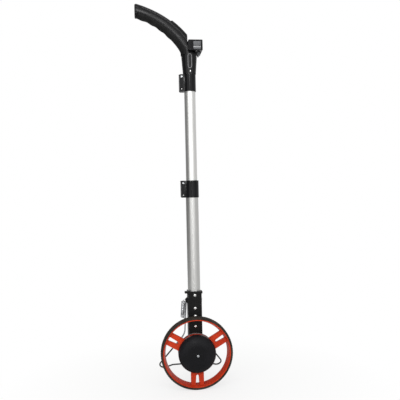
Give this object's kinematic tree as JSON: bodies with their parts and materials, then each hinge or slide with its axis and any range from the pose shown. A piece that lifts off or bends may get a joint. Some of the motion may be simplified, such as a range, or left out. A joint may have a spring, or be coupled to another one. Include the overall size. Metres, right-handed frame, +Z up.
{
  "type": "digital measuring wheel",
  "caption": "Single-sided measuring wheel on a telescopic lever-clamped mast, with a pistol grip, display pod, trigger and folding wire stand.",
  "frame": {"origin": "the point where the tyre meets the ground, under the wheel's middle", "axes": "+X the direction of travel, +Y from the wheel towards the mast, +Z up along the mast"},
  "size_m": [0.1991, 0.1841, 0.8532],
  "materials": {
    "tyre_rubber": "black moulded rubber, dull",
    "red_plastic": "moulded orange-red plastic, satin gloss",
    "black_plastic": "black moulded plastic, satin gloss",
    "black_matte": "black moulded plastic, fine spark texture",
    "soft_grip": "soft black rubber",
    "tube_aluminium": "satin anodised drawn tube",
    "bright_steel": "bright nickel plated steel",
    "spring_steel": "zinc plated spring wire",
    "wire_steel": "dull zinc plated wire",
    "circuit_board": "green solder mask",
    "lens_clear": "clear acrylic window",
    "lcd_panel": "grey-green liquid crystal panel",
    "label_grey": "satin grey film without words",
    "trigger_grey": "grey moulded plastic",
    "cell_wrap": "plain printed steel can",
    "magnet_dark": "bonded ferrite",
    "lead_jacket": "black cable jacket"
  },
  "bodies": {
    "mast_lower": {"bracket_front": "black_plastic", "bracket_rear": "black_plastic", "bracket_screws": "bright_steel", "bracket_nuts": "bright_steel", "axle": "bright_steel", "axle_nuts": "bright_steel", "bearing_spacer": "bright_steel", "hub_shield": "black_matte", "shield_screws": "bright_steel", "sensor_board": "circuit_board", "sensor_lead": "lead_jacket", "lower_tube": "tube_aluminium", "middle_collar": "black_plastic", "middle_clamp_pin": "bright_steel", "middle_clamp_screw": "bright_steel"},
    "wheel": {"tyre": "tyre_rubber", "wheel_body": "red_plastic", "hub_cover": "black_plastic", "hub_cover_screws": "bright_steel", "front_bearing": "bright_steel", "rear_bearing": "bright_steel", "magnet_ring": "magnet_dark"},
    "middle_clamp_lever": {"middle_lever": "black_plastic"},
    "mast_middle": {"middle_tube": "tube_aluminium", "middle_bush": "black_matte", "top_collar": "black_plastic", "top_clamp_pin": "bright_steel", "top_clamp_screw": "bright_steel"},
    "top_clamp_lever": {"top_lever": "black_plastic"},
    "handle": {"inner_tube": "tube_aluminium", "inner_bush": "black_matte", "handle_near": "black_plastic", "handle_far": "black_plastic", "handle_screws": "bright_steel", "finger_grip": "soft_grip", "thumb_pad": "soft_grip", "grip_end_cap": "black_matte", "display_housing": "black_matte", "display_bezel": "black_plastic", "lcd_lens": "lens_clear", "lcd_module": "lcd_panel", "main_board": "circuit_board", "batteries": "cell_wrap", "battery_contacts": "bright_steel", "side_label": "label_grey", "trigger_pin": "bright_steel", "trigger_spring": "spring_steel"},
    "key_left": {"button_left": "black_matte"},
    "key_middle": {"button_middle": "black_matte"},
    "key_right": {"button_right": "black_matte"},
    "door": {"battery_door": "black_matte"},
    "trigger": {"trigger": "trigger_grey"},
    "stand": {"stand_wire": "wire_steel"},
    "stand_spring": {"stand_spring": "spring_steel"}
  },
  "joints": [
    {"name": "wheel_spin", "type": "hinge", "parent": "mast_lower", "child": "wheel", "pos_m": [0, 0, 0.07958], "axis": [0, 1, 0], "continuous": true},
    {"name": "middle_slide", "type": "slide", "parent": "mast_lower", "child": "mast_middle", "axis": [0, 0, 1], "range_m": [-0.185, 0], "deforming": ["sensor_lead"]},
    {"name": "handle_slide", "type": "slide", "parent": "mast_middle", "child": "handle", "axis": [0, 0, 1], "range_m": [0, 0.185], "deforming": ["sensor_lead"]},
    {"name": "middle_lever_flip", "type": "hinge", "parent": "mast_lower", "child": "middle_clamp_lever", "pos_m": [-0.02, 0.0305, 0.42748], "axis": [0, -1, 0], "range_deg": [0, 100]},
    {"name": "top_lever_flip", "type": "hinge", "parent": "mast_middle", "child": "top_clamp_lever", "pos_m": [-0.0185, 0.0305, 0.66468], "axis": [0, -1, 0], "range_deg": [0, 100]},
    {"name": "stand_fold", "type": "hinge", "parent": "mast_lower", "child": "stand", "pos_m": [0, 0.0415, 0.19298], "axis": [1, 0, 0], "range_deg": [0, 143]},
    {"name": "spring_swing", "type": "hinge", "parent": "mast_lower", "child": "stand_spring", "pos_m": [0, 0.03467, 0.19146], "axis": [1, 0, 0], "range_deg": [0, 131.3]},
    {"name": "trigger_pull", "type": "hinge", "parent": "handle", "child": "trigger", "pos_m": [0.0232, 0.0305, 0.75038], "axis": [0, 1, 0], "range_deg": [0, 10], "stiffness_Nm_per_rad": 0.05},
    {"name": "door_slide", "type": "slide", "parent": "handle", "child": "door", "axis": [1, 0, 0], "range_m": [0, 0.022]},
    {"name": "key_left_press", "type": "slide", "parent": "handle", "child": "key_left", "axis": [0, 0, -1], "range_m": [0, 0.0012], "stiffness_N_per_m": 100},
    {"name": "key_middle_press", "type": "slide", "parent": "handle", "child": "key_middle", "axis": [0, 0, -1], "range_m": [0, 0.0012], "stiffness_N_per_m": 100},
    {"name": "key_right_press", "type": "slide", "parent": "handle", "child": "key_right", "axis": [0, 0, -1], "range_m": [0, 0.0012], "stiffness_N_per_m": 100}
  ],
  "couplings": [
    {"joint": "spring_swing", "follows": "stand_fold", "ratio": 0.91746}
  ]
}
